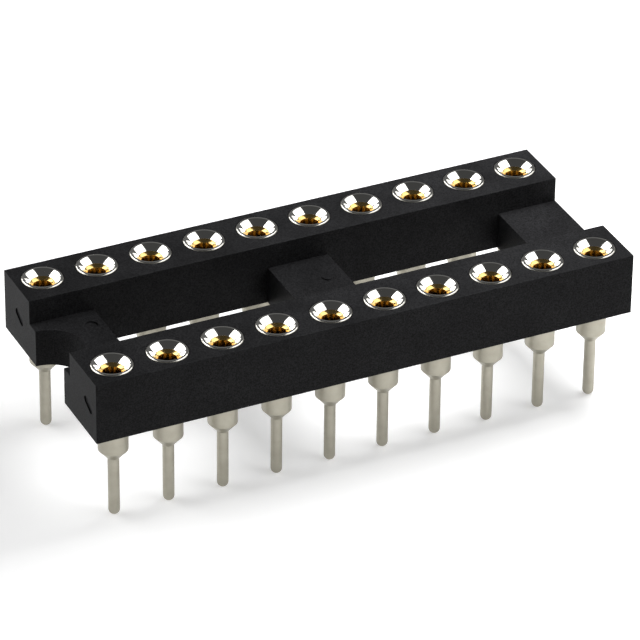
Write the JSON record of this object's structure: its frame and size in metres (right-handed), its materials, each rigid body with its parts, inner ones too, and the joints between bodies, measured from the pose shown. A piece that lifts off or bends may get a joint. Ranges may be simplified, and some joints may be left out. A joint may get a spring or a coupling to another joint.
{
  "type": "ic socket",
  "caption": "Dual in-line socket for an integrated circuit: two rows of turned contacts with lead-in funnels, spring clips and solder tails in an open-frame insulator.",
  "frame": {"origin": "centre of the pattern of solder tails, at the level where the shoulders run out into the tails, which is the board's face in close holes", "axes": "+X along the rows, away from the end with the notch; +Z out of the contact mouths; contact 1 is the first of the -Y row at the notched end"},
  "size_m": [0.0254, 0.0102, 0.0076],
  "materials": {
    "insulator": "moulded black plastic with a slight gloss",
    "tin_plate": "turned brass, tin plated, satin",
    "gold_plate": "copper alloy spring, gold plated, bright"
  },
  "bodies": {
    "root": {"housing": "insulator", "sleeve_01": "tin_plate", "sleeve_02": "tin_plate", "sleeve_03": "tin_plate", "sleeve_04": "tin_plate", "sleeve_05": "tin_plate", "sleeve_06": "tin_plate", "sleeve_07": "tin_plate", "sleeve_08": "tin_plate", "sleeve_09": "tin_plate", "sleeve_10": "tin_plate", "sleeve_11": "tin_plate", "sleeve_12": "tin_plate", "sleeve_13": "tin_plate", "sleeve_14": "tin_plate", "sleeve_15": "tin_plate", "sleeve_16": "tin_plate", "sleeve_17": "tin_plate", "sleeve_18": "tin_plate", "sleeve_19": "tin_plate", "sleeve_20": "tin_plate", "clip_01": "gold_plate", "clip_02": "gold_plate", "clip_03": "gold_plate", "clip_04": "gold_plate", "clip_05": "gold_plate", "clip_06": "gold_plate", "clip_07": "gold_plate", "clip_08": "gold_plate", "clip_09": "gold_plate", "clip_10": "gold_plate", "clip_11": "gold_plate", "clip_12": "gold_plate", "clip_13": "gold_plate", "clip_14": "gold_plate", "clip_15": "gold_plate", "clip_16": "gold_plate", "clip_17": "gold_plate", "clip_18": "gold_plate", "clip_19": "gold_plate", "clip_20": "gold_plate"}
  },
  "joints": []
}
